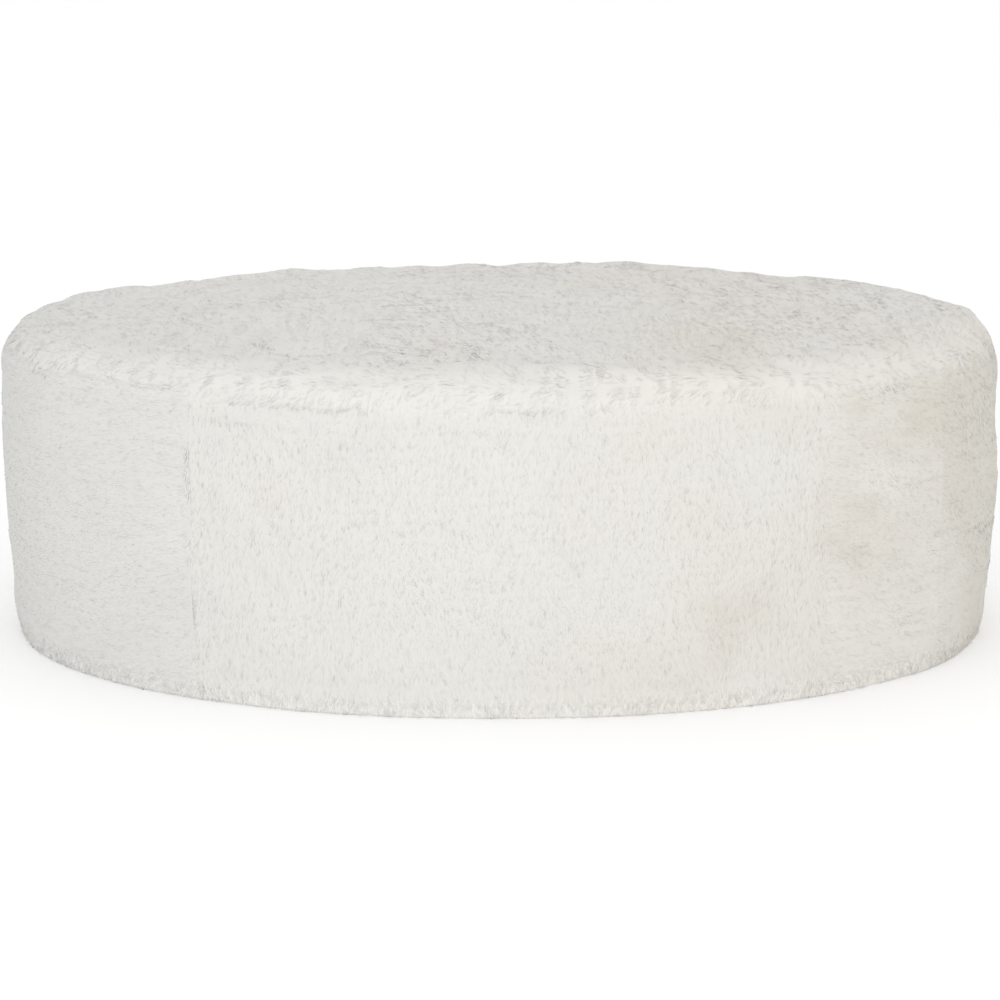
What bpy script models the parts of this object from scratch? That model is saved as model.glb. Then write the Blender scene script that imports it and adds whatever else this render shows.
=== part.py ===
"""Oval ottoman, covered all over in long-pile sheepskin.

One firmly filled body stands flat on the floor. Seven pelts are stretched over it: one covers the top and
comes part of the way down the rolled edge, and six stand side by side round the wall. A pelt's solid is
the skin together with its pile, so its outer face is where the tips of the pile lie.

Metres, +Z up, +X to the right, the front towards -Y. The origin is the middle of the underside.
"""

import math

import bpy
import numpy as np

WIDTH = 1.35  # overall, along X
DEPTH = 0.82  # overall, along Y
HEIGHT = 0.46  # to the middle of the crowned top
BULGE = 0.004  # how far the wall swells at half its height
CROWN = 0.020  # how far the middle of the top stands above the rolled edge
ROLL = 0.070  # radius of the rolled edge
LEAN = 0.012  # how far the pile leans in at the floor
LEAN_HEIGHT = 0.045  # height from which it does so
PELT = 0.025  # skin and pile together
GAP = 0.0003  # clearance between pieces that touch

HALF_WIDTH = WIDTH / 2 - BULGE
HALF_DEPTH = DEPTH / 2 - BULGE
RIM = HEIGHT - CROWN
SHOULDER = RIM - ROLL

# A station is a place on the section, from the underside up to the middle of the top.
FOOT, WALL, EDGE, TOP, MIDDLE = 0.0, 1.0, 2.0, 3.0, 4.0
TOP_SEAM = EDGE + 25 / 90  # the top pelt ends 25 degrees up the rolled edge

SEAM_DIP = 0.004  # the pile lies lower where two pelts meet
SEAM_REACH = 0.014  # and recovers within about this distance

# The wall's pelts, by the turn from the front at which each starts. The last one ends where the first starts.
WALL_PELTS = (
    # name, start in degrees
    ("front_pelt", -35),
    ("front_right_pelt", 37),
    ("right_end_pelt", 58),
    ("back_pelt", 143),
    ("left_end_pelt", 217),
    ("front_left_pelt", 298),
)

# The hand-stuffed unevenness of the outside: each row is one broad wave round and up the form.
WAVES = (
    # height in metres, waves round, waves up the section, phase in radians
    (0.0016, 5, 0.7, 0.4),
    (0.0012, 9, 1.3, 2.1),
    (0.0009, 14, 2.2, 4.0),
)

COLUMN_TURN = math.radians(5.4)  # the widest facet round the form
WALL_STATIONS = (0.0, 0.34, 0.67, 1.0, 1.25, 1.5, 1.75, 2.0)
EDGE_STATIONS = (2.45, 2.63, 2.81, 3.0)
TOP_STATIONS = (3.16, 3.36, 3.58, 3.8)

MATERIALS = {
    # name: (colour, roughness)
    "sheepskin": ((0.84, 0.82, 0.78), 0.9),
    "filled_body": ((0.72, 0.68, 0.60), 0.85),
}


def oval(turn, outwards):
    """x and y of the oval at each turn from the front, moved outwards along the oval's normal."""
    across, along = np.sin(turn), -np.cos(turn)
    slope_x, slope_y = across / HALF_WIDTH, along / HALF_DEPTH
    size = np.hypot(slope_x, slope_y)
    x = HALF_WIDTH * across + outwards * slope_x / size
    y = HALF_DEPTH * along + outwards * slope_y / size
    return x, y


def form(turn, station, depth):
    """Points of the form at each turn and station, sunk by depth below the tips of the pile.

    The section leans in at the foot on a parabola, which fades out with the depth, swells as half a sine
    wave up the wall, rolls over on a quarter circle and closes in straight lines to the middle of the
    crowned top.
    """
    lift = np.clip(station - FOOT, 0, 1)
    rise = np.clip(station - WALL, 0, 1)
    bend = np.clip(station - EDGE, 0, 1) * math.pi / 2
    shrink = 1 - np.clip(station - TOP, 0, 1)
    at_foot = -LEAN * (1 - lift) ** 2 * (1 - depth / PELT) - depth
    on_wall = BULGE * np.sin(math.pi * rise) - depth
    on_edge = -ROLL + (ROLL - depth) * np.cos(bend)
    outwards = np.select([station < WALL, station < EDGE, station < TOP], [at_foot, on_wall, on_edge], -ROLL)
    x, y = oval(turn, outwards)
    z_foot = LEAN_HEIGHT * lift
    z_wall = LEAN_HEIGHT + rise * (SHOULDER - LEAN_HEIGHT)
    z_edge = SHOULDER + (ROLL - depth) * np.sin(bend)
    z_top = RIM - depth + CROWN * (1 - shrink**2) ** 1.3
    z = np.select([station < WALL, station < EDGE, station < TOP], [z_foot, z_wall, z_edge], z_top)
    return np.stack([x * shrink, y * shrink, z + 0 * x], -1)


def unevenness(turn, station):
    """How far the pile's tips stand above the even form: a few broad waves, none at the very middle."""
    up = np.maximum(station, WALL)
    height = sum(a * np.sin(n * turn + 2 * math.pi * m * up + p) for a, n, m, p in WAVES)
    return height * np.clip(MIDDLE - station, 0, 1)


def dip(distance):
    """How far the pile is sunk at this distance from a seam."""
    return SEAM_DIP * np.exp(-((distance / SEAM_REACH) ** 2))


def turns_between(start, end):
    """Turns from one seam to the next, evenly spaced, with one more close to each seam for its dip."""
    count = math.ceil((end - start) / COLUMN_TURN)
    even = np.linspace(start, end, count + 1)
    near = 0.35 * (even[1] - even[0])
    return np.concatenate([even[:1], [start + near], even[1:-1], [end - near], even[-1:]])


def grid_faces(rows, columns, closed):
    """Quads of a grid whose points are numbered row by row, facing out where rows run up and columns right."""
    across = columns if closed else columns - 1
    row, column = np.meshgrid(np.arange(rows - 1), np.arange(across), indexing="ij")
    after = (column + 1) % columns
    corners = [row * columns + column, row * columns + after]
    corners += [(row + 1) * columns + after, (row + 1) * columns + column]
    return np.stack(corners, -1).reshape(-1, 4)


def strip_faces(outer, inner, closed):
    """Quads that close the rim between two equal lines of points, outer's on the right-hand side."""
    ends = (np.roll(outer, -1), np.roll(inner, -1))
    quads = np.stack([inner, ends[1], ends[0], outer], -1)
    return quads if closed else quads[:-1]


def add_solid(name, points, faces, material):
    """One object with its place in its mesh, shaded smooth up to its edges."""
    mesh = bpy.data.meshes.new(name)
    mesh.from_pydata(points.reshape(-1, 3).tolist(), [], faces)
    mesh.validate()
    mesh.materials.append(material)
    mesh.shade_smooth()
    mesh.set_sharp_from_angle(angle=math.radians(40))
    solid = bpy.data.objects.new(name, mesh)
    bpy.context.scene.collection.objects.link(solid)
    return solid


def filled_body(turns, stations, material):
    """The filled body: the form sunk by a pelt's thickness, flat underneath."""
    turn, station = np.meshgrid(turns, stations)
    points = form(turn, station, PELT).reshape(-1, 3)
    rows, columns = turn.shape
    middle_up, middle_down = len(points), len(points) + 1
    ends = [form(0.0, MIDDLE, PELT), (0.0, 0.0, 0.0)]
    points = np.concatenate([points, ends])
    faces = grid_faces(rows, columns, True).tolist()
    first = np.arange(columns)
    last = first + (rows - 1) * columns
    after = np.roll(first, -1)
    faces += [(int(a), int(b), middle_up) for a, b in zip(last, last[after])]
    faces += [(int(b), int(a), middle_down) for a, b in zip(first, after)]
    return add_solid("filled_body", points, faces, material)


def wall_pelt(name, turns, stations, material):
    """One of the wall's pelts: outer and inner faces between two upright seams, closed by four rims."""
    join = 0.5 * GAP / (HALF_DEPTH - 2 * PELT)
    turns = np.concatenate([[turns[0] + join], turns[1:-1], [turns[-1] - join]])
    stations = np.concatenate([stations[:-1], [stations[-1] - GAP / ROLL]])
    turn, station = np.meshgrid(turns, stations)
    length = np.hypot(HALF_WIDTH * np.cos(turn), HALF_DEPTH * np.sin(turn))
    sideways = np.minimum(turn - turns[0], turns[-1] - turn) * length
    below = (TOP_SEAM - station) * np.where(station < EDGE, SHOULDER, ROLL * math.pi / 2)
    sunk = dip(np.minimum(sideways, np.where(station < WALL, 1.0, below)))
    outer = form(turn, station, sunk - unevenness(turn, station)).reshape(-1, 3)
    inner = form(turn, station, PELT - GAP).reshape(-1, 3)
    rows, columns = turn.shape
    skin = grid_faces(rows, columns, False)
    number = np.arange(rows * columns).reshape(rows, columns)
    back = number + rows * columns
    faces = np.concatenate(
        [
            skin,
            skin[:, ::-1] + rows * columns,
            strip_faces(number[0], back[0], False),
            strip_faces(back[-1], number[-1], False),
            strip_faces(back[:, 0], number[:, 0], False),
            strip_faces(number[:, -1], back[:, -1], False),
        ]
    )
    return add_solid(name, np.concatenate([outer, inner]), faces.tolist(), material)


def top_pelt(turns, stations, material):
    """The top's pelt: a crowned oval whose edge turns down over the rolled edge, closed by one rim."""
    stations = np.concatenate([[stations[0] + GAP / ROLL], stations[1:]])
    turn, station = np.meshgrid(turns, stations)
    above = (station - TOP_SEAM) * ROLL * math.pi / 2
    outer = form(turn, station, dip(above) - unevenness(turn, station)).reshape(-1, 3)
    inner = form(turn, station, PELT - GAP).reshape(-1, 3)
    rows, columns = turn.shape
    count = rows * columns
    skin = grid_faces(rows, columns, True)
    number = np.arange(count).reshape(rows, columns)
    faces = np.concatenate(
        [skin, skin[:, ::-1] + count, strip_faces(number[0], number[0] + count, True)]
    ).tolist()
    middles = [form(0.0, MIDDLE, 0.0), form(0.0, MIDDLE, PELT - GAP)]
    last, after = number[-1], np.roll(number[-1], -1)
    faces += [(int(a), int(b), 2 * count) for a, b in zip(last, after)]
    faces += [(int(b) + count, int(a) + count, 2 * count + 1) for a, b in zip(last, after)]
    return add_solid("top_pelt", np.concatenate([outer, inner, middles]), faces, material)


def new_material(name):
    colour, roughness = MATERIALS[name]
    material = bpy.data.materials.new(name)
    material.use_nodes = True
    shader = material.node_tree.nodes["Principled BSDF"]
    shader.inputs["Base Color"].default_value = (*colour, 1)
    shader.inputs["Roughness"].default_value = roughness
    shader.inputs["Metallic"].default_value = 0.0
    return material


def main():
    for old in list(bpy.data.objects):
        bpy.data.objects.remove(old)
    sheepskin = new_material("sheepskin")
    starts = [math.radians(start) for _, start in WALL_PELTS]
    ends = starts[1:] + [starts[0] + 2 * math.pi]
    spans = [turns_between(start, end) for start, end in zip(starts, ends)]
    all_turns = np.concatenate([span[:-1] for span in spans])
    near_seam = SEAM_REACH / (ROLL * math.pi / 2)
    wall_stations = np.array((*WALL_STATIONS, TOP_SEAM - near_seam, TOP_SEAM))
    top_stations = np.array((TOP_SEAM, *EDGE_STATIONS, *TOP_STATIONS))
    body_stations = np.concatenate([wall_stations, top_stations[1:]])
    filled_body(all_turns, body_stations, new_material("filled_body"))
    for (name, _), turns in zip(WALL_PELTS, spans):
        wall_pelt(name, turns, wall_stations, sheepskin)
    top_pelt(all_turns, top_stations, sheepskin)


main()
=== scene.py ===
"""Looks of the oval sheepskin ottoman.

The filled body gets a woven cotton cover. Each pelt is worked as a furrier would: its wool and its pile are
laid out on the pelt while it is flat, and then the whole is stretched over the form. The pile is some hundred
thousand slim tapered locks bedded in the wool, combed in each pelt's own direction.

Lengths are metres and angles radians unless a name says degrees.
"""

import math

import bpy
import numpy as np
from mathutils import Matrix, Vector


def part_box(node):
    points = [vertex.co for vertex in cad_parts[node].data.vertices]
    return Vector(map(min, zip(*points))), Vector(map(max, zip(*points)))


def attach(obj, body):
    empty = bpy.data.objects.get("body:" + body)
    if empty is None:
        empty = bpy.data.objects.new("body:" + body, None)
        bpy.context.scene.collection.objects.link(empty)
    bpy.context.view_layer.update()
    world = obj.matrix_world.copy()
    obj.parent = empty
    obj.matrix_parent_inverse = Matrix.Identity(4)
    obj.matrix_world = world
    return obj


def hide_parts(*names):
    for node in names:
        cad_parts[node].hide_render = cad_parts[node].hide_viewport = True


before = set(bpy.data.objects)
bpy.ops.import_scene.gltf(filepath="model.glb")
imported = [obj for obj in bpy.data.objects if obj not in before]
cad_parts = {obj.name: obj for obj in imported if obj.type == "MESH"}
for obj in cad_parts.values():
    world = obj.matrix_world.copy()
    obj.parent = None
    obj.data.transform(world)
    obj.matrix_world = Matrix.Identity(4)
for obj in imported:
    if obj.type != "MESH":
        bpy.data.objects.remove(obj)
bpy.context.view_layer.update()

# The section of the form, as the CAD has it.
BULGE, CROWN, ROLL, PELT, GAP = 0.004, 0.020, 0.070, 0.025, 0.0003
LEAN, LEAN_HEIGHT = 0.012, 0.045
BODY_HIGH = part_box("filled_body")[1]
HALF_WIDTH = BODY_HIGH.x + PELT - BULGE
HALF_DEPTH = BODY_HIGH.y + PELT - BULGE
RIM = BODY_HIGH.z + PELT - CROWN
SHOULDER = RIM - ROLL
FOOT, WALL, EDGE, TOP, MIDDLE = 0.0, 1.0, 2.0, 3.0, 4.0
TOP_SEAM = EDGE + 25 / 90
WAVES = ((0.0016, 5, 0.7, 0.4), (0.0012, 9, 1.3, 2.1), (0.0009, 14, 2.2, 4.0))

# Depths below the tips of the pile.
WOOL_DEPTH = 0.0025  # face of the wool
SKIN_DEPTH = 0.0215  # inside of the skin

# Between points of the meshes.
WOOL_STEP, CURVED_STEP = 0.010, 0.005  # the wool, and where its section curves
TOP_STEP = 0.015  # round the top pelt
BODY_COLUMNS, BODY_STEP = 144, 0.020  # round the body, and up it
NEAR_MIDDLE = 3.96  # the last station before the middle of the top
TOP_REACH = 0.42  # about how far it is from the rolled edge to the middle of the top
QUARTER, SHARP = math.pi / 2, math.radians(60)

# The wall's pelts: where each starts, in degrees of turn from the front, and how its pile is combed.
# Heading 0 is to the right along the wall and -90 straight down; swirl is how far it wanders either way.
# Length is a lock's, full its thickness as a share of LOCK_THICKNESS, and rise how far the locks lift in the
# middle of a tuft. Warmth and shade is added to the warmth of the colour. It is partly the pile's own colour,
# browner round the right-hand end, and partly painted shade: the hues darken away from the middle warmths,
# so the left pelts and the ends, where the pile lies or turns away from the light, are painted darker.
WALL_PELTS = (
    # pelt, start, heading, swirl, length, full, rise, warmth_and_shade
    ("front", -35, -90, 20, 0.016, 0.5, 0.0002, 0.0),
    ("front_right", 37, -24, 36, 0.014, 0.25, 0.0003, 0.03),
    ("right_end", 58, -40, 40, 0.014, 0.16, 0.0003, 0.20),
    ("back", 143, -90, 20, 0.016, 0.55, 0.0005, 0.0),
    ("left_end", 217, -165, 28, 0.015, 0.16, 0.0003, -0.08),
    ("front_left", 298, -172, 22, 0.017, 0.15, 0.0001, -0.07),
)
WALL_END = WALL_PELTS[0][1] + 360

# The top's pelt, combed in the same way, where heading 90 is straight back.
TOP_HEADING, TOP_SWIRL, TOP_LOCK = 112, 40, 0.014
TOP_FULL, ROLL_FULL = 0.22, 0.12  # on the crown and on the rolled edge
TOP_RISE, ROLL_RISE = 0.0002, 0.0001
CROWN_ENDS, CROWN_FADE = TOP + 0.15, 0.3  # stations between which the crown's pile becomes the roll's
ROLL_TURN, ROLL_TURN_FROM, ROLL_TURN_FADE = 0.75, TOP - 0.15, 0.5  # how far it turns outwards, and where

# Where the pile has yellowed or browned: the middle of the stain, its half width and half height, and how
# much warmer it is; below 0 it is cooler.
STAIN_DEPTH = 0.12  # half depth of every stain
STAINS = (
    # x, y, z, wide, tall, how much
    (0.436, -0.306, 0.315, 0.034, 0.080, 0.36),
    (0.473, -0.291, 0.165, 0.060, 0.110, 0.05),
    (0.338, -0.351, 0.130, 0.080, 0.045, 0.16),
    (0.306, -0.363, 0.085, 0.060, 0.040, 0.10),
    (0.190, -0.385, 0.060, 0.120, 0.060, 0.10),
    (0.620, -0.160, 0.330, 0.050, 0.100, 0.42),
    (0.551, -0.231, 0.070, 0.080, 0.070, -0.10),
    (0.650, -0.050, 0.220, 0.060, 0.220, 0.50),
    (0.530, -0.245, 0.320, 0.060, 0.090, 0.18),
    (-0.278, -0.368, 0.292, 0.035, 0.035, 0.36),
    (0.280, -0.240, 0.440, 0.070, 0.030, 0.14),
    (0.300, -0.170, 0.440, 0.050, 0.030, 0.10),
    (-0.070, -0.240, 0.445, 0.080, 0.030, 0.14),
    (-0.640, -0.050, 0.200, 0.050, 0.300, -0.20),
    (-0.360, 0.200, 0.440, 0.120, 0.030, 0.24),
    (0.000, 0.150, 0.450, 0.200, 0.030, 0.14),
)

# Hollows in the top, on the flat pelt: the middle, half width and half length, and how deep; below 0 it is a
# swelling.
HOLLOWS = (
    # x, y, wide, long, deep
    (-0.272, -0.275, 0.025, 0.030, 0.0016),
    (-0.335, -0.330, 0.040, 0.030, -0.0012),
    (-0.225, -0.345, 0.040, 0.025, -0.0010),
    (-0.180, -0.318, 0.018, 0.020, 0.0010),
    (-0.455, -0.225, 0.060, 0.016, 0.0010),
    (0.270, -0.250, 0.022, 0.020, 0.0012),
    (0.258, -0.160, 0.022, 0.020, 0.0012),
    (0.412, -0.172, 0.014, 0.016, 0.0018),
    (-0.07, -0.235, 0.050, 0.025, 0.0010),
    (0.126, -0.270, 0.060, 0.030, -0.0008),
    (-0.360, 0.270, 0.160, 0.100, 0.0040),
    (0.235, 0.300, 0.060, 0.090, -0.0040),
    (0.520, 0.130, 0.050, 0.090, -0.0030),
)

# The warmth of the colour, from 0 to 1.
WARM_FROM, WARM_OVER = -0.85, 1.8  # where it starts to rise to the right, in half widths, and over how far
LEFT_WARMTH, WARMTH_RISE = 0.2, 0.42
LEFT_PATCHES, PATCHES_RISE = 0.05, 0.20  # how much of it comes in patches

# The wool's face: each row of lumps is a height, and the size of its cloud.
LUMPS = ((0.0010, 0.06), (0.0006, 0.030), (0.0002, 0.016))
END_LUMPS, END_FROM, END_FADE = 0.8, 0.6, 0.15  # more lumps beyond this sine of the turn
WISP_HEIGHT, WISP_SIZE = 0.0005, 0.014
TOP_LUMPS, TOP_HOLLOWS = 3.4, 1.3  # the top's lumps and hollows are this much higher and deeper
RIDGE_HEIGHT, RIDGE_SIZE = 0.0020, 0.020
SEAM_DIP, SEAM_REACH = 0.00015, 0.006
SEAM_CALM = 0.02  # no lumps at the seam round the top, and all of them this far from it

# The locks. Each row of the comb's wandering is a share of the swirl, and the size of its cloud.
WALL_WANDER = ((0.65, 0.085), (0.35, 0.030))
TOP_WANDER = ((0.6, 0.10), (0.4, 0.035))
LOCKS_PER_M2 = 54000
CURL = 0.08  # how far a lock's tip swings sideways, as a share of its length
LOCK_WIDTH, LOCK_THICKNESS = 0.0022, 0.0007
RIDGE_SHARE, BED_SHARE = 0.7, 0.3  # of the thickness, above and below the middle line
CROSSING = 0.007  # how far the locks of one pelt reach over the seam to the next
RING_AT = 0.4  # a lock is widest this far along it
RING_DRAWN, RING_LOFT, RING_RISE = 0.15, 0.3, 0.4  # how much of what moves the tip moves the ring too
ROOT_HEIGHT, RING_HEIGHT, TIP_HEIGHT = -0.0008, 0.0, 0.0001  # of a lock's middle line above the wool
ROUNDNESS = 0.15
OUT_STEP = 0.004  # between the two heights that give the direction out of the wool
LOCK_FACES = np.array([(0, 2, 1), (0, 3, 2), (0, 1, 3), (1, 2, 4), (2, 3, 4), (3, 1, 4)])
LOCK_ALONG = np.array([0.0, 0.45, 0.45, 0.45, 1.0])  # for the shade
LOCK_ACROSS = np.array([0.0, 1.0, 0.0, -1.0, 0.0])
TIP_SHADE = 0.8
ROOT_PART, ALONG_PART, OWN_PART = 0.08, 0.62, 0.28  # what the shade is made of
SIDE_WARMTH = 0.006  # how much warmer one side of a lock is
WALL_TUFT, WALL_PULL = 0.012, 0.3  # size of a tuft, and how far it draws its locks together
TOP_TUFT, TOP_PULL = 0.014, 0.5

# The foot of the wall.
FRINGE_PER_M = 1200  # more locks, which hang down to the floor
FRINGE_LOW, FRINGE_TALL = 0.004, 0.040  # the lowest of them, and how far up from there they grow
FRINGE_LOFT, FLOOR_CLEARANCE = 0.0015, 0.0002
COMBED_DOWN, FRINGE_DOWN = 0.8, 0.9  # how far the locks at the floor and the fringe are turned down
DOWN_HEIGHT = 0.04  # the locks turn down below this height
LEAST_SLOPE = 0.05  # a lock's room above the floor is reckoned as if it lay at least this steep
HANG = 0.0010  # how far from the wool the tips of the lowest locks hang, in the middle of their tuft
SPLAY = 0.009  # how far out over the floor the tips of a few of them splay
UPTURN = 0.30  # how far the lowest locks' shading is turned up, against the lean of the wool

# Painted light: the pile is made paler at the foot and on the rolled edge, standing in for light scattered
# inside the fur.
PAINTED_LIGHT_GAIN = 1.19  # how much brighter the pile is where the most light is painted in
PAINTED_LIGHT_HEIGHT = 0.040  # the painted light grows below this height
ROLL_PAINTED_LIGHT, ROLL_PAINTED_LIGHT_LOW, PAINTED_LIGHT_FADE = 0.22, SHOULDER + 0.012, 0.015  # the painted light on the rolled edge

LATTICE = 97  # random numbers each way on a cloud's lattice, before it repeats
NEAREST_STEPS = 8
SPREAD_RATIO = 1.32471795724  # its first two powers give steps that never line up


# ---------------------------------------------------------------- the form


def oval(turn, outwards):
    """x and y of the oval at each turn from the front, moved outwards along the oval's normal."""
    slope_x, slope_y = np.sin(turn) / HALF_WIDTH, -np.cos(turn) / HALF_DEPTH
    size = np.hypot(slope_x, slope_y)
    x = HALF_WIDTH * np.sin(turn) + outwards * slope_x / size
    return x, -HALF_DEPTH * np.cos(turn) + outwards * slope_y / size


def form(turn, station, depth):
    """Points of the form at each turn and station, sunk by depth below the tips of the pile.

    The section leans in at the foot on a parabola, which fades out with the depth, swells as half a sine
    wave up the wall, rolls over on a quarter circle and closes in straight lines to the middle of the
    crowned top.
    """
    lift = np.clip(station - FOOT, 0, 1)
    rise = np.clip(station - WALL, 0, 1)
    bend = np.clip(station - EDGE, 0, 1) * QUARTER
    shrink = 1 - np.clip(station - TOP, 0, 1)
    at_foot = -LEAN * (1 - lift) ** 2 * (1 - depth / PELT) - depth
    on_wall = BULGE * np.sin(math.pi * rise) - depth
    on_edge = -ROLL + (ROLL - depth) * np.cos(bend)
    zones = [station < WALL, station < EDGE, station < TOP]
    x, y = oval(turn, np.select(zones, [at_foot, on_wall, on_edge], -ROLL))
    z_foot = LEAN_HEIGHT * lift
    z_wall = LEAN_HEIGHT + rise * (SHOULDER - LEAN_HEIGHT)
    z_edge = SHOULDER + (ROLL - depth) * np.sin(bend)
    z_top = RIM - depth + CROWN * (1 - shrink**2) ** 1.3
    z = np.select(zones, [z_foot, z_wall, z_edge], z_top)
    return np.stack([x * shrink, y * shrink, z + 0 * x], -1)


def unit(vectors):
    """The vectors, each made one long."""
    return vectors / np.maximum(np.linalg.norm(vectors, axis=-1, keepdims=True), 1e-12)


def ease(t):
    """From 0 to 1 with level ends: three t squared less two t cubed."""
    t = np.clip(t, 0, 1)
    return t * t * (3 - 2 * t)


def cloud(x, y, size, seed):
    """Smooth random heights from -1 to 1: random numbers on a lattice of this size, eased in between."""
    lattice = np.random.default_rng(seed).uniform(-1, 1, (LATTICE, LATTICE))
    column, row = np.floor(x / size).astype(int), np.floor(y / size).astype(int)
    right, up = ease(x / size - column), ease(y / size - row)
    column, row = column % LATTICE, row % LATTICE
    after, above = (column + 1) % LATTICE, (row + 1) % LATTICE
    low = lattice[row, column] * (1 - right) + lattice[row, after] * right
    high = lattice[above, column] * (1 - right) + lattice[above, after] * right
    return low * (1 - up) + high * up


def layered(x, y, layers, seed):
    """The sum of several clouds, each a height or share and a size."""
    return sum(height * cloud(x, y, size, seed + number) for number, (height, size) in enumerate(layers))


# ---------------------------------------------------------------- pelts laid flat, and stretched

# A round and a half of turns, and the arc along the oval from the front to each; then the same up the
# section.
TURNS = np.linspace(-math.pi, 2 * math.pi, 3001)
OVAL_ARC = np.append(0, np.cumsum(np.hypot(*np.diff(np.stack(oval(TURNS, 0.0)), axis=1))))
OVAL_ARC -= np.interp(0, TURNS, OVAL_ARC)
SECTION_ARC = np.cumsum([0, LEAN_HEIGHT, SHOULDER - LEAN_HEIGHT, ROLL * QUARTER])
SECTION_STOPS = np.array([FOOT, WALL, EDGE, TOP])
WALL_HEIGHT = np.interp(TOP_SEAM, SECTION_STOPS, SECTION_ARC)
UPRIGHT_SEAMS = np.interp(np.radians([row[1] for row in WALL_PELTS] + [WALL_END]), TURNS, OVAL_ARC)

# The inner oval, where the crown meets the rolled edge, with the direction of each place from the middle.
INNER_TURN = np.linspace(-math.pi, math.pi, 1001)
INNER_X, INNER_Y = oval(INNER_TURN, -ROLL)
INNER_DIRECTION = np.unwrap(np.arctan2(INNER_X, -INNER_Y))
INNER_DIRECTION -= INNER_DIRECTION[len(INNER_TURN) // 2]


def unevenness(turn, station):
    """The hand-stuffed unevenness, as the CAD has it: a few broad waves, none at the very middle."""
    up = np.maximum(station, WALL)
    height = sum(a * np.sin(n * turn + 2 * math.pi * m * up + p) for a, n, m, p in WAVES)
    return height * np.clip(MIDDLE - station, 0, 1)


def hollows(x, y):
    """How far the top is sunk by its hollows, each one a bell."""
    return sum(
        deep * np.exp(-(((x - middle_x) / wide) ** 2) - ((y - middle_y) / long) ** 2)
        for middle_x, middle_y, wide, long, deep in HOLLOWS
    )


def seam_dip(distance):
    """How far the wool is sunk at this distance from a seam: a bell."""
    return SEAM_DIP * np.exp(-((distance / SEAM_REACH) ** 2))


def seam_calm(distance):
    """From 0 at the seam round the top to 1 away from it, so that the lumps of both sides meet there."""
    return ease(np.abs(distance) / SEAM_CALM)


def on_wall(along, up, height):
    """Points of the wall: along and up are measured on the flat pelts, height from the face of the wool.

    The wool has lumps in three sizes and long low wisps that run along the wall, all of them nearly twice as
    high round the right-hand end, and it dips along the seams.
    """
    turn = np.interp(along, OVAL_ARC, TURNS)
    station = np.interp(up, SECTION_ARC, SECTION_STOPS)
    below_seam = WALL_HEIGHT - up
    lumpier = 1 + END_LUMPS * ease((np.sin(turn) - END_FROM) / END_FADE)
    wisps = WISP_HEIGHT * cloud(along / 3 + 0.3 * up, up, WISP_SIZE, 75)
    lumpy = seam_calm(below_seam) * lumpier * (layered(along, up, LUMPS, 71) + wisps)
    beside_seam = np.min([np.abs(along - seam) for seam in UPRIGHT_SEAMS], axis=0)
    sunk = seam_dip(below_seam) + seam_dip(beside_seam)
    points = form(turn, station, WOOL_DEPTH - height - unevenness(turn, station) - lumpy + sunk)
    points[..., 2] += np.minimum(up, 0)
    return points


def top_places(x, y):
    """Turn and station of each place on the flat top pelt.

    On the crown the turn is that of the inner oval in the same direction, and the station falls evenly
    from the middle. On the rolled edge the turn is that of the oval's nearest point, found in a few steps,
    each to the nearest place on the oval's tangent, and the station falls evenly with the distance.
    """
    direction = np.arctan2(x, -y)
    turn = np.interp(direction, INNER_DIRECTION, INNER_TURN)
    station = MIDDLE - np.hypot(x, y) / np.interp(direction, INNER_DIRECTION, np.hypot(INNER_X, INNER_Y))
    nearest = turn
    for _ in range(NEAREST_STEPS):
        away_x, away_y = x - HALF_WIDTH * np.sin(nearest), y + HALF_DEPTH * np.cos(nearest)
        slope_x, slope_y = HALF_WIDTH * np.cos(nearest), HALF_DEPTH * np.sin(nearest)
        nearest = nearest + (away_x * slope_x + away_y * slope_y) / (slope_x**2 + slope_y**2)
    outward_x, outward_y = outward(nearest)
    distance = (x - HALF_WIDTH * np.sin(nearest)) * outward_x + (y + HALF_DEPTH * np.cos(nearest)) * outward_y
    rolled = station < TOP
    edge_station = TOP - (distance + ROLL) / (ROLL * QUARTER)
    return np.where(rolled, nearest, turn), np.where(rolled, edge_station, station)


def outward(turn):
    """The oval's outward normal in plan, at each turn."""
    slope_x, slope_y = np.sin(turn) / HALF_WIDTH, -np.cos(turn) / HALF_DEPTH
    size = np.hypot(slope_x, slope_y)
    return slope_x / size, slope_y / size


def on_top(x, y, height):
    """Points of the top: x and y are measured on the flat pelt, height from the face of the wool.

    The wool has the wall's lumps, but higher, with ridges from side to side and hollows.
    """
    turn, station = top_places(x, y)
    above_seam = (station - TOP_SEAM) * ROLL * QUARTER
    ridges = RIDGE_HEIGHT * cloud(x / 2.5 + 0.4 * y, y, RIDGE_SIZE, 85)
    lumpy = TOP_LUMPS * layered(x, y, LUMPS, 81) + ridges - TOP_HOLLOWS * hollows(x, y)
    lumpy = seam_calm(above_seam) * lumpy
    return form(turn, station, WOOL_DEPTH - height - unevenness(turn, station) - lumpy + seam_dip(above_seam))


# ---------------------------------------------------------------- meshes


def mesh_piece(name, points, faces, material):
    """A piece from arrays of points and of triangles or quads, with its place in its mesh."""
    sides = faces.shape[1]
    mesh = bpy.data.meshes.new(name)
    mesh.vertices.add(len(points))
    mesh.vertices.foreach_set("co", points.astype(np.float32).ravel())
    mesh.loops.add(faces.size)
    mesh.loops.foreach_set("vertex_index", faces.astype(np.int32).ravel())
    mesh.polygons.add(len(faces))
    mesh.polygons.foreach_set("loop_start", np.arange(0, faces.size, sides, dtype=np.int32))
    mesh.update(calc_edges=True)
    mesh.shade_smooth()
    mesh.materials.append(material)
    piece = bpy.data.objects.new(name, mesh)
    bpy.context.scene.collection.objects.link(piece)
    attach(piece, "root")
    return piece


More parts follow.
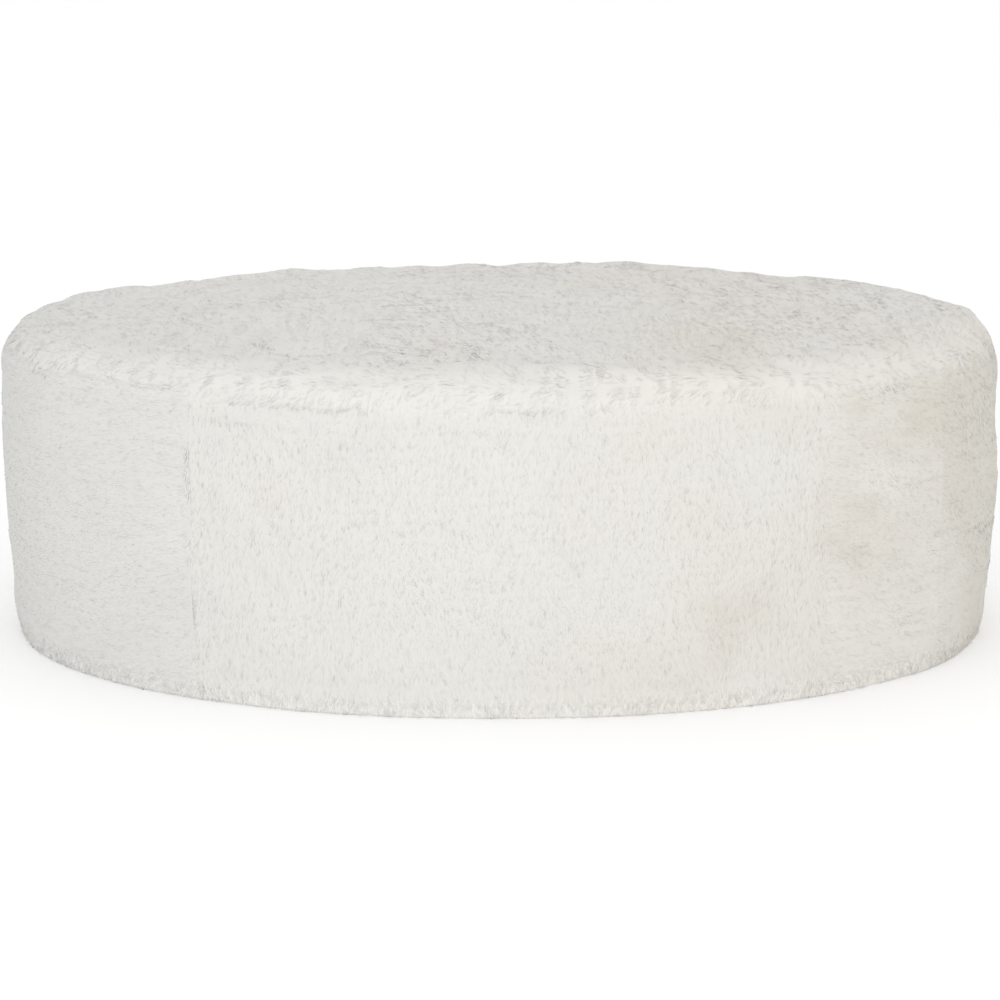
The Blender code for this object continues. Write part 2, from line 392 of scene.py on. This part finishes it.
def add_value(piece, name, values):
    """A number at each point of the piece, for its material to read."""
    layer = piece.data.attributes.new(name, "FLOAT", "POINT")
    layer.data.foreach_set("value", values.astype(np.float32).ravel())


def add_map(piece, name, places):
    """A UV map from a place at each point of the piece."""
    loops = np.empty(len(piece.data.loops), np.int32)
    piece.data.loops.foreach_get("vertex_index", loops)
    layer = piece.data.uv_layers.new(name=name)
    layer.uv.foreach_set("vector", places[loops].astype(np.float32).ravel())


def grid_faces(rows, columns, closed):
    """Quads of a grid whose points are numbered row by row, facing out if rows run up and columns right."""
    across = columns if closed else columns - 1
    row, column = np.meshgrid(np.arange(rows - 1), np.arange(across), indexing="ij")
    after = (column + 1) % columns
    corners = [row * columns + column, row * columns + after]
    corners += [(row + 1) * columns + after, (row + 1) * columns + column]
    return np.stack(corners, -1).reshape(-1, 4)


def rim_faces(outer, inner, closed):
    """Quads that close the rim between two equal lines of points."""
    quads = np.stack([inner, np.roll(inner, -1), np.roll(outer, -1), outer], -1)
    return quads if closed else quads[:-1]


# ---------------------------------------------------------------- the pile


def spread(count):
    """count places spread evenly over the unit square, by adding two fixed steps that never line up."""
    number = np.arange(count)
    return (0.5 + number / SPREAD_RATIO) % 1, (0.5 + number / SPREAD_RATIO**2) % 1


def tufts(x, y, size, pull, seed):
    """How far each lock's tip is drawn towards the middle of its tuft, and how near it the lock is, 0 to 1.

    The tufts are the cells of a grid whose lines wander; each cell's middle is moved at random.
    """
    warp = 0.45 * size
    wandering_x = x + warp * cloud(x, y, 1.7 * size, seed)
    wandering_y = y + warp * cloud(x, y, 1.7 * size, seed + 1)
    column, row = np.floor(wandering_x / size), np.floor(wandering_y / size)
    shift_x = 0.5 + 0.3 * cloud(column, row, 1.0, seed + 2)
    shift_y = 0.5 + 0.3 * cloud(column, row, 1.0, seed + 3)
    away_x = (column + shift_x) * size - wandering_x
    away_y = (row + shift_y) * size - wandering_y
    return pull * away_x, pull * away_y, ease(1 - np.hypot(away_x, away_y) / (0.7 * size))


def tangled(count, seed):
    """The random numbers that make each lock its own. A few have much more loft or splay than the rest."""
    draw = np.random.default_rng(seed)
    return {
        "length": draw.uniform(0.8, 1.2, count),
        "girth": draw.uniform(0.7, 1.3, count),
        "heading": np.radians(draw.normal(0, 9, count)),
        "curl": draw.normal(0, CURL, count),
        "height": draw.normal(0, 0.00010, count),
        "loft": 0.0002 * draw.uniform(0, 1, count) + 0.0020 * draw.uniform(0, 1, count) ** 60,
        "shade": draw.uniform(0, 1, count),
        "splay": draw.uniform(0, 1, count) ** 16,
    }


def comb_locks(lay, u, v, heading, length, full, rise, own, drawn):
    """Points and shading normals of locks combed over a flat pelt, once it is stretched by lay.

    Each lock is a slim spindle: its root, a ring of three points where it is widest, and its tip. Its middle
    line runs straight from the root to the ring; beyond, it swings sideways by its curl and towards its
    tuft. The ring's outer two points lie in the wool and its third is the ridge.
    """
    cosine, sine = np.cos(heading), np.sin(heading)
    ring_u = u + RING_AT * length * cosine + RING_DRAWN * drawn[0]
    ring_v = v + RING_AT * length * sine + RING_DRAWN * drawn[1]
    swing = own["curl"] * length
    tip_u = u + length * cosine - swing * sine + drawn[0]
    tip_v = v + length * sine + swing * cosine + drawn[1]
    half = 0.5 * LOCK_WIDTH * own["girth"]
    lifted = RING_HEIGHT + own["height"]
    thick = LOCK_THICKNESS * full * own["girth"]
    root = lay(u, v, ROOT_HEIGHT + own["height"])
    ridged = lifted + RIDGE_SHARE * thick + RING_LOFT * own["loft"] + RING_RISE * rise * drawn[2]
    left = lay(ring_u - half * sine, ring_v + half * cosine, lifted - BED_SHARE * thick)
    ridge = lay(ring_u, ring_v, ridged)
    right = lay(ring_u + half * sine, ring_v - half * cosine, lifted - BED_SHARE * thick)
    tip = lay(tip_u, tip_v, TIP_HEIGHT + own["height"] + own["loft"] + rise * drawn[2])
    out = unit(lay(ring_u, ring_v, OUT_STEP + lifted) - lay(ring_u, ring_v, lifted))
    aside = ROUNDNESS * unit(left - right)
    normals = [out, unit(out + aside), out, unit(out - aside), out]
    return np.stack([root, left, ridge, right, tip], 1), np.stack(normals, 1)


def pile_piece(name, points, normals, warmth, shade, painted_light, material):
    """One piece of pile: the locks joined into a mesh, with the two numbers that colour them.

    The shade rises in a straight line from root to tip, with a part of its own for each lock, and stays below
    TIP_SHADE; where light is painted in, at the foot and on the rolled edge, it is drawn towards 1.
    """
    faces = (LOCK_FACES[None] + 5 * np.arange(len(points))[:, None, None]).reshape(-1, 3)
    piece = mesh_piece(name, points.reshape(-1, 3), faces, material)
    piece.data.normals_split_custom_set_from_vertices(normals.reshape(-1, 3))
    shades = TIP_SHADE * (ROOT_PART + ALONG_PART * LOCK_ALONG + OWN_PART * shade[:, None])
    # Painted light: the shade is drawn towards 1 at the foot and on the rolled edge.
    shades += (1 - shades) * painted_light
    warmths = warmth[:, None] + SIDE_WARMTH * LOCK_ACROSS
    add_value(piece, "warmth", warmths)
    add_value(piece, "shade", shades)
    add_map(piece, "OFBake", np.stack([warmths, shades], -1).reshape(-1, 2))
    return piece


def warmth_at(x, y, z):
    """How warm the pile's colour is, from 0 to 1: it rises to the right, in soft patches, and in the stains.

    The patches are clouds read along slanting lines, so that they differ from front to back too. A stain is
    a bell whose outline is made blotchy by another cloud.
    """
    trend = ease((x / HALF_WIDTH - WARM_FROM) / WARM_OVER)
    patches = 0.6 * cloud(x + 0.7 * y, z + 0.4 * y, 0.09, 41) + 0.4 * cloud(x - 0.5 * y, z, 0.035, 42)
    blotchy = 1 + 0.7 * cloud(x + 0.7 * y, 1.6 * z, 0.034, 43)
    warm = LEFT_WARMTH + WARMTH_RISE * trend + (LEFT_PATCHES + PATCHES_RISE * trend) * patches
    for stain_x, stain_y, stain_z, wide, tall, strength in STAINS:
        away = ((x - stain_x) / wide) ** 2 + ((y - stain_y) / STAIN_DEPTH) ** 2 + ((z - stain_z) / tall) ** 2
        warm = warm + strength * np.exp(-away * blotchy) * (1 + 0.5 * patches)
    return np.clip(warm, 0.02, 0.98)


def painted_light_at(z):
    """How much light is painted into the pile at this height: 1 at the floor, 0 up the wall, and a little on
    the rolled edge.
    """
    rolled = ease((z - ROLL_PAINTED_LIGHT_LOW) / PAINTED_LIGHT_FADE) * ease((RIM - z) / PAINTED_LIGHT_FADE)
    return ease(1 - z / PAINTED_LIGHT_HEIGHT) + ROLL_PAINTED_LIGHT * rolled


def wall_pile(row, end, material, seed):
    """The pile of one of the wall's pelts.

    It is combed at the pelt's heading, which wanders, and turned down towards the floor, where each lock is
    no longer than its room above it. Nearest the floor the tips stand off the wool, and a few splay.
    """
    name, start, heading, swirl, length, full, rise, warmth_and_shade = row
    first, last = np.interp(np.radians([start, end]), TURNS, OVAL_ARC)
    wide, tall = last - first + 2 * CROSSING, WALL_HEIGHT + CROSSING
    share_along, share_up = spread(int(LOCKS_PER_M2 * wide * tall))
    fringe_along, fringe_up = spread(int(FRINGE_PER_M * wide))
    along = first - CROSSING + wide * np.append(share_along, fringe_along)
    up = np.append(share_up * tall, FRINGE_LOW + FRINGE_TALL * fringe_up**2)
    own = tangled(len(along), seed)
    wander = layered(along, up, WALL_WANDER, seed + 1)
    turned_down = COMBED_DOWN * ease((DOWN_HEIGHT - share_up * tall) / DOWN_HEIGHT)
    hanging = np.append(turned_down, np.full(fringe_up.shape, FRINGE_DOWN))
    angle = np.radians(heading + hanging * (-90 - heading) + swirl * wander) + own["heading"]
    drawn = tufts(along, up, WALL_TUFT, WALL_PULL, seed + 5)
    room = up / np.maximum(-np.sin(angle), LEAST_SLOPE)
    near_floor = ease(1 - up / LEAN_HEIGHT)
    stand_off = FRINGE_LOFT * np.abs(own["curl"]) / CURL + HANG * drawn[2] + SPLAY * own["splay"]
    own["loft"] += near_floor * stand_off
    drawn = (drawn[0], (1 - near_floor) * drawn[1], drawn[2])
    lengths = np.minimum(length * own["length"], room)
    points, normals = comb_locks(on_wall, along, up, angle, lengths, full, rise, own, drawn)
    points[..., 2] = np.maximum(points[..., 2], FLOOR_CLEARANCE)
    normals[..., 2] += UPTURN * near_floor[:, None]
    normals = unit(normals)
    # Painted light: the pile is made paler near the floor and on the rolled edge.
    # Painted shade: the pelt's shift of warmth also darkens the pile of the left pelts and the ends.
    warmth, painted_light = warmth_at(*points[:, 2].T) + warmth_and_shade, painted_light_at(points[..., 2])
    return pile_piece(f"pile_{name}", points, normals, warmth, own["shade"], painted_light, material)


def top_pile(material, seed):
    """The pile of the top's pelt, in a left and a right piece.

    Over the crown it lies backwards in wandering swirls. Down the rolled edge it turns through sideways
    towards outwards, by the shorter way round, so it parts to the right of the middle of the front.
    """
    reach = ROLL * QUARTER * (TOP - TOP_SEAM) - ROLL
    half_x, half_y = HALF_WIDTH + reach, HALF_DEPTH + reach
    share_x, share_y = spread(int(LOCKS_PER_M2 * 4 * half_x * half_y))
    x, y = (2 * share_x - 1) * half_x, (2 * share_y - 1) * half_y
    turn, station = top_places(x, y)
    within = station > TOP_SEAM
    x, y, turn, station = x[within], y[within], turn[within], station[within]
    own = tangled(len(x), seed)
    wander = layered(x, y, TOP_WANDER, seed + 1)
    outward_x, outward_y = outward(turn)
    turning = (np.degrees(np.arctan2(outward_y, outward_x)) - TOP_HEADING + 180) % 360 - 180
    rolled = ROLL_TURN * ease((ROLL_TURN_FROM - station) / ROLL_TURN_FADE)
    angle = np.radians(TOP_HEADING + turning * rolled + TOP_SWIRL * wander) + own["heading"]
    drawn = tufts(x, y, TOP_TUFT, TOP_PULL, seed + 5)
    near_edge = ease((CROWN_ENDS - station) / CROWN_FADE)
    full = TOP_FULL + near_edge * (ROLL_FULL - TOP_FULL)
    rise = TOP_RISE + near_edge * (ROLL_RISE - TOP_RISE)
    points, normals = comb_locks(on_top, x, y, angle, TOP_LOCK * own["length"], full, rise, own, drawn)
    # Painted light: the pile is made paler on the rolled edge.
    parts = (points, normals, warmth_at(*points[:, 2].T), own["shade"], painted_light_at(points[..., 2]))
    pieces = []
    for side, chosen in (("left", x < 0), ("right", x >= 0)):
        pieces.append(pile_piece(f"pile_top_{side}", *(part[chosen] for part in parts), material))
    return pieces


# ---------------------------------------------------------------- pelts and body


def sheet_stations(*stretches):
    """Stations up the section: each stretch is its first and last station and about how far apart to go."""
    stops = np.append(SECTION_ARC, SECTION_ARC[-1] + TOP_REACH)
    rows = []
    for first, last, step in stretches:
        low, high = np.interp([first, last], np.arange(5), stops)
        even = np.linspace(low, high, round((high - low) / step) + 1)
        rows.append(np.interp(even, stops, np.arange(5))[1 if rows else 0 :])
    return np.concatenate(rows)


def lie(u, v, heading):
    """Places on the flat pelt, turned so that the second runs with the pile, for both faces of the sheet."""
    across, along = u * np.sin(heading) - v * np.cos(heading), u * np.cos(heading) + v * np.sin(heading)
    return np.tile(np.stack([across.ravel(), along.ravel()], -1), (2, 1))


def wall_pelt(row, end, material):
    """One of the wall's pelts: skin and wool as a thin closed sheet, whose outer face reaches the seams."""
    name, start, heading, warmth_and_shade = row[0], row[1], row[2], row[-1]
    first, last = np.interp(np.radians([start, end]), TURNS, OVAL_ARC)
    stations = sheet_stations(
        (FOOT, WALL, CURVED_STEP), (WALL, EDGE, WOOL_STEP), (EDGE, TOP_SEAM, CURVED_STEP)
    )
    across = np.linspace(first, last, round((last - first) / WOOL_STEP) + 1)
    along, up = np.meshgrid(across, np.interp(stations, SECTION_STOPS, SECTION_ARC))
    outer = on_wall(along, up, 0.0).reshape(-1, 3)
    kept_along, kept_up = np.clip(along, first + GAP, last - GAP), np.clip(up, 0, WALL_HEIGHT - GAP)
    turn = np.interp(kept_along, OVAL_ARC, TURNS)
    inner = form(turn, np.interp(kept_up, SECTION_ARC, SECTION_STOPS), SKIN_DEPTH).reshape(-1, 3)
    count = len(outer)
    number = np.arange(count).reshape(turn.shape)
    skin = grid_faces(*turn.shape, False)
    faces = np.concatenate(
        [
            skin,
            skin[:, ::-1] + count,
            rim_faces(number[0], number[0] + count, False),
            rim_faces(number[-1] + count, number[-1], False),
            rim_faces(number[:, 0] + count, number[:, 0], False),
            rim_faces(number[:, -1], number[:, -1] + count, False),
        ]
    )
    points = np.concatenate([outer, inner])
    pelt = mesh_piece(f"skin_{name}", points, faces, material)
    # Painted shade: the pelt's shift of warmth also darkens the wool of the left pelts and the ends.
    add_value(pelt, "warmth", warmth_at(*points.T) + warmth_and_shade)
    # Painted light: the wool is made paler near the floor and on the rolled edge.
    add_value(pelt, "painted_light", painted_light_at(points[:, 2]))
    pelt.data.set_sharp_from_angle(angle=SHARP)
    add_map(pelt, "lie", lie(along, up, math.radians(heading)))
    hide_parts(f"{name}_pelt")
    return pelt, (float(last - first), float(WALL_HEIGHT))


def top_pelt(material):
    """The top's pelt: a thin closed sheet over the crown and down over the rolled edge."""
    turns = np.linspace(-math.pi, math.pi, round(OVAL_ARC[-1] / TOP_STEP) + 1)[:-1]
    stations = sheet_stations((TOP_SEAM, TOP, CURVED_STEP), (TOP, NEAR_MIDDLE, WOOL_STEP))
    turn, station = np.meshgrid(turns, stations)
    shrink = 1 - np.clip(station - TOP, 0, 1)
    x, y = oval(turn, ROLL * QUARTER * np.clip(TOP - station, 0, 1) - ROLL)
    x, y = np.append(x * shrink, 0), np.append(y * shrink, 0)
    outer = on_top(x, y, 0.0)
    inner = form(turn, np.maximum(station, TOP_SEAM + GAP / ROLL), SKIN_DEPTH).reshape(-1, 3)
    inner = np.append(inner, [form(0.0, MIDDLE, SKIN_DEPTH)], 0)
    count = len(outer)
    number = np.arange(count - 1).reshape(turn.shape)
    skin = grid_faces(*turn.shape, True)
    last, after = number[-1], np.roll(number[-1], -1)
    caps = [
        np.stack([last, after, 0 * last + count - 1], -1),
        np.stack([after + count, last + count, 0 * last + 2 * count - 1], -1),
    ]
    quads = np.concatenate([skin, skin[:, ::-1] + count, rim_faces(number[0], number[0] + count, True)])
    triangles = np.concatenate([quads[:, [0, 1, 2]], quads[:, [0, 2, 3]], *caps])
    points = np.concatenate([outer, inner])
    pelt = mesh_piece("skin_top", points, triangles, material)
    add_value(pelt, "warmth", warmth_at(*points.T))
    # Painted light: the wool is made paler on the rolled edge.
    add_value(pelt, "painted_light", painted_light_at(points[:, 2]))
    pelt.data.set_sharp_from_angle(angle=SHARP)
    add_map(pelt, "lie", lie(x, y, math.radians(TOP_HEADING)))
    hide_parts("top_pelt")
    return pelt


def filled_body(material):
    """The filled body in its cotton cover: a crowned closed form, flat where it stands on the floor."""
    turns = np.linspace(-math.pi, math.pi, BODY_COLUMNS + 1)[:-1]
    stations = sheet_stations((FOOT, NEAR_MIDDLE, BODY_STEP))
    turn, station = np.meshgrid(turns, stations)
    points = form(turn, station, SKIN_DEPTH + GAP).reshape(-1, 3)
    rows, columns = turn.shape
    count = rows * columns
    first = np.arange(columns)
    last = first + (rows - 1) * columns
    quads = grid_faces(rows, columns, True)
    caps = [
        np.stack([last, np.roll(last, -1), 0 * last + count], -1),
        np.stack([np.roll(first, -1), first, 0 * first + count + 1], -1),
    ]
    triangles = np.concatenate([quads[:, [0, 1, 2]], quads[:, [0, 2, 3]], *caps])
    middles = [form(0.0, MIDDLE, SKIN_DEPTH + GAP), (0.0, 0.0, 0.0)]
    body = mesh_piece("covered_body", np.concatenate([points, middles]), triangles, material)
    body.data.set_sharp_from_angle(angle=SHARP)
    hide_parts("filled_body")
    return body


# ---------------------------------------------------------------- materials


def new_material(name, roughness, sheen):
    """A node material and its shader, with the finish that is the same all over set on the shader itself."""
    material = bpy.data.materials.new(name)
    material.use_nodes = True
    shader = material.node_tree.nodes["Principled BSDF"]
    shader.inputs["Roughness"].default_value = roughness
    shader.inputs["Specular IOR Level"].default_value = 0.25
    shader.inputs["Sheen Weight"].default_value = sheen
    shader.inputs["Sheen Roughness"].default_value = 0.5
    return material, shader


def add_node(tree, kind, **values):
    """A node of this kind, with its inputs set by name."""
    node = tree.nodes.new(kind)
    for key, value in values.items():
        node.inputs[key.replace("_", " ")].default_value = value
    return node


def add_reader(tree, name):
    """The number that the piece holds under this name at each point."""
    node = tree.nodes.new("ShaderNodeAttribute")
    node.attribute_name = name
    return node.outputs["Fac"]


def add_ramp(tree, source, stops):
    """A colour ramp read at source, from (place, colour) rows."""
    node = tree.nodes.new("ShaderNodeValToRGB")
    for number, (place, colour) in enumerate(stops):
        element = node.color_ramp.elements[number] if number < 2 else node.color_ramp.elements.new(place)
        element.position = place
        element.color = (*colour, 1)
    tree.links.new(source, node.inputs["Fac"])
    return node.outputs["Color"]


def multiplied(tree, one, other):
    """The product of two colours."""
    node = tree.nodes.new("ShaderNodeMix")
    node.data_type, node.blend_type = "RGBA", "MULTIPLY"
    node.inputs["Factor"].default_value = 1.0
    tree.links.new(one, node.inputs["A"])
    tree.links.new(other, node.inputs["B"])
    return node.outputs["Result"]


# The hue for each warmth.
HUES = [
    (0.0, (0.606, 0.601, 0.580)),
    (0.12, (0.624, 0.618, 0.596)),
    (0.2, (0.650, 0.644, 0.618)),
    (0.32, (0.670, 0.662, 0.633)),
    (0.62, (0.662, 0.640, 0.605)),
    (0.8, (0.640, 0.616, 0.570)),
    (1.0, (0.600, 0.574, 0.516)),
]

# What the hue is multiplied by: along a lock, with painted shade between the strands of the wool, and with
# painted light where the pile and wool are made paler.
PAINTED_BRIGHTEST = (PAINTED_LIGHT_GAIN, PAINTED_LIGHT_GAIN, PAINTED_LIGHT_GAIN)
SHADES = [
    (0.0, (0.95, 0.945, 0.94)),
    (0.4, (0.98, 0.98, 0.98)),
    (TIP_SHADE, (1.0, 1.0, 1.0)),
    (1.0, PAINTED_BRIGHTEST),
]
# Painted shade: the wool's strand pattern is darker in its low parts, the hollows of its bump, and the sunk
# wool is a little darker than the locks.
STRAND_SHADES = [(0.3, (0.958, 0.958, 0.953)), (0.7, (0.980, 0.980, 0.980))]
PAINTED_LIGHT_STEPS = [(0.0, (1.0, 1.0, 1.0)), (1.0, PAINTED_BRIGHTEST)]
THREADS = [(0.2, (0.50, 0.46, 0.38)), (0.9, (0.72, 0.68, 0.60))]  # of the cotton, from low to high


def pile_material():
    """The locks: cool white to cream by warmth, from the shaded root to the bright tip by shade, and paler
    where light is painted in.
    """
    material, shader = new_material("sheepskin_pile", 0.75, 0.1)
    tree = material.node_tree
    hue = add_ramp(tree, add_reader(tree, "warmth"), HUES)
    # Painted light: shades above TIP_SHADE make the locks paler at the foot and on the rolled edge.
    light = add_ramp(tree, add_reader(tree, "shade"), SHADES)
    tree.links.new(multiplied(tree, hue, light), shader.inputs["Base Color"])
    return material


def skin_material():
    """The skin with its wool: soft off-white strands two millimetres apart that run with the pile, with
    painted shade between them and painted light at the foot and rolled edge.
    """
    material, shader = new_material("sheepskin_wool", 0.9, 0.1)
    tree = material.node_tree
    place = tree.nodes.new("ShaderNodeUVMap")
    place.uv_map = "lie"
    mapping = add_node(tree, "ShaderNodeMapping", Scale=(1.0, 0.16, 1.0))
    tree.links.new(place.outputs["UV"], mapping.inputs["Vector"])
    strands = add_node(tree, "ShaderNodeTexNoise", Scale=420.0, Detail=3.0, Roughness=0.5, Distortion=0.4)
    tree.links.new(mapping.outputs["Vector"], strands.inputs["Vector"])
    hue = add_ramp(tree, add_reader(tree, "warmth"), HUES)
    # Painted shade: the wool is darker where the strands' bump is low, between the strands.
    strand_shade = add_ramp(tree, strands.outputs["Fac"], STRAND_SHADES)
    # Painted light: the wool is made paler near the floor and on the rolled edge.
    painted_lift = add_ramp(tree, add_reader(tree, "painted_light"), PAINTED_LIGHT_STEPS)
    tree.links.new(multiplied(tree, multiplied(tree, hue, strand_shade), painted_lift), shader.inputs["Base Color"])
    bump = add_node(tree, "ShaderNodeBump", Strength=0.15, Distance=0.0008)
    tree.links.new(strands.outputs["Fac"], bump.inputs["Height"])
    tree.links.new(bump.outputs["Normal"], shader.inputs["Normal"])
    return material


def cover_material():
    """The body's cover: plain woven cotton, its two sets of threads two millimetres apart."""
    material, shader = new_material("cotton_cover", 0.9, 0.1)
    tree = material.node_tree
    place = tree.nodes.new("ShaderNodeTexCoord").outputs["Object"]
    threads = []
    for direction in ("X", "Y"):
        wave = add_node(tree, "ShaderNodeTexWave", Scale=160.0, Distortion=0.6, Detail=1.0)
        wave.bands_direction = direction
        tree.links.new(place, wave.inputs["Vector"])
        threads.append(wave.outputs["Fac"])
    crossed = tree.nodes.new("ShaderNodeMath")
    crossed.operation = "MAXIMUM"
    tree.links.new(threads[0], crossed.inputs[0])
    tree.links.new(threads[1], crossed.inputs[1])
    colour = add_ramp(tree, crossed.outputs[0], THREADS)
    tree.links.new(colour, shader.inputs["Base Color"])
    bump = add_node(tree, "ShaderNodeBump", Strength=0.5, Distance=0.0005)
    tree.links.new(crossed.outputs[0], bump.inputs["Height"])
    tree.links.new(bump.outputs["Normal"], shader.inputs["Normal"])
    return material


# ---------------------------------------------------------------- the studio

SURROUND = 1.018  # strength of the even light from all round
FLOOR_SIZE, FLOOR_GREY, FLOOR_GLOW = 80.0, 0.89, 0.088
VIEW_PLACE, VIEW_DOWN = (0.0, -3.5, 1.1523), 0.2727
LENS, SENSOR = 95.4, 36.0  # millimetres
CLIP_NEAR, CLIP_FAR = 0.05, 200.0

LAMPS = (
    # name, place, aimed at, width, height, watts
    ("front", (0.3, -4.2, 1.3), (0.0, 0.0, 0.25), 2.5, 1.5, 38.0),
    ("left", (-2.6, -3.2, 2.0), (0.0, 0.0, 0.25), 2.5, 1.5, 8.0),
)


def soft_lamp(name, place, aim, width, height, watts):
    """A large even lamp that faces the place it is aimed at."""
    lamp = bpy.data.lights.new(name, "AREA")
    lamp.shape, lamp.size, lamp.size_y, lamp.energy = "RECTANGLE", width, height, watts
    shining = bpy.data.objects.new(name, lamp)
    shining.location = place
    x, y, z = np.subtract(aim, place)
    shining.rotation_euler = (math.atan2(math.hypot(x, y), -z), 0, math.atan2(y, x) - QUARTER)
    bpy.context.scene.collection.objects.link(shining)


def studio():
    """A white floor, an even white surround and large soft lamps."""
    scene = bpy.context.scene
    scene.view_settings.view_transform = "Standard"
    world = bpy.data.worlds.new("surround")
    world.use_nodes = True
    world.node_tree.nodes["Background"].inputs["Color"].default_value = (1, 1, 1, 1)
    world.node_tree.nodes["Background"].inputs["Strength"].default_value = SURROUND
    scene.world = world
    half = FLOOR_SIZE / 2
    mesh = bpy.data.meshes.new("floor")
    corners = [(-half, -half, 0), (half, -half, 0), (half, half, 0), (-half, half, 0)]
    mesh.from_pydata(corners, [], [(0, 1, 2, 3)])
    floor = bpy.data.objects.new("floor", mesh)
    scene.collection.objects.link(floor)
    material, shader = new_material("floor_white", 0.9, 0.0)
    shader.inputs["Base Color"].default_value = (FLOOR_GREY, FLOOR_GREY, FLOOR_GREY, 1)
    shader.inputs["Emission Color"].default_value = (1, 1, 1, 1)
    shader.inputs["Emission Strength"].default_value = FLOOR_GLOW
    mesh.materials.append(material)
    for lamp in LAMPS:
        soft_lamp(*lamp)


def camera():
    """The view: from in front, 15.6 degrees down, through a long lens."""
    lens = bpy.data.cameras.new("view")
    lens.sensor_width, lens.lens = SENSOR, LENS
    lens.clip_start, lens.clip_end = CLIP_NEAR, CLIP_FAR
    view = bpy.data.objects.new("view", lens)
    view.location = VIEW_PLACE
    view.rotation_euler = (QUARTER - VIEW_DOWN, 0.0, 0.0)
    bpy.context.scene.collection.objects.link(view)
    bpy.context.scene.camera = view


def main():
    """The view, the studio, the body, and each pelt with its pile."""
    camera()
    studio()
    pile, skin = pile_material(), skin_material()
    body = filled_body(cover_material())
    ends = [row[1] for row in WALL_PELTS[1:]] + [WALL_END]
    for number, (row, end) in enumerate(zip(WALL_PELTS, ends)):
        pelt, flat = wall_pelt(row, end, skin)
        locks = wall_pile(row, end, pile, 100 * number + 11)
    top = top_pelt(skin)
    top_pile(pile, 911)


main()
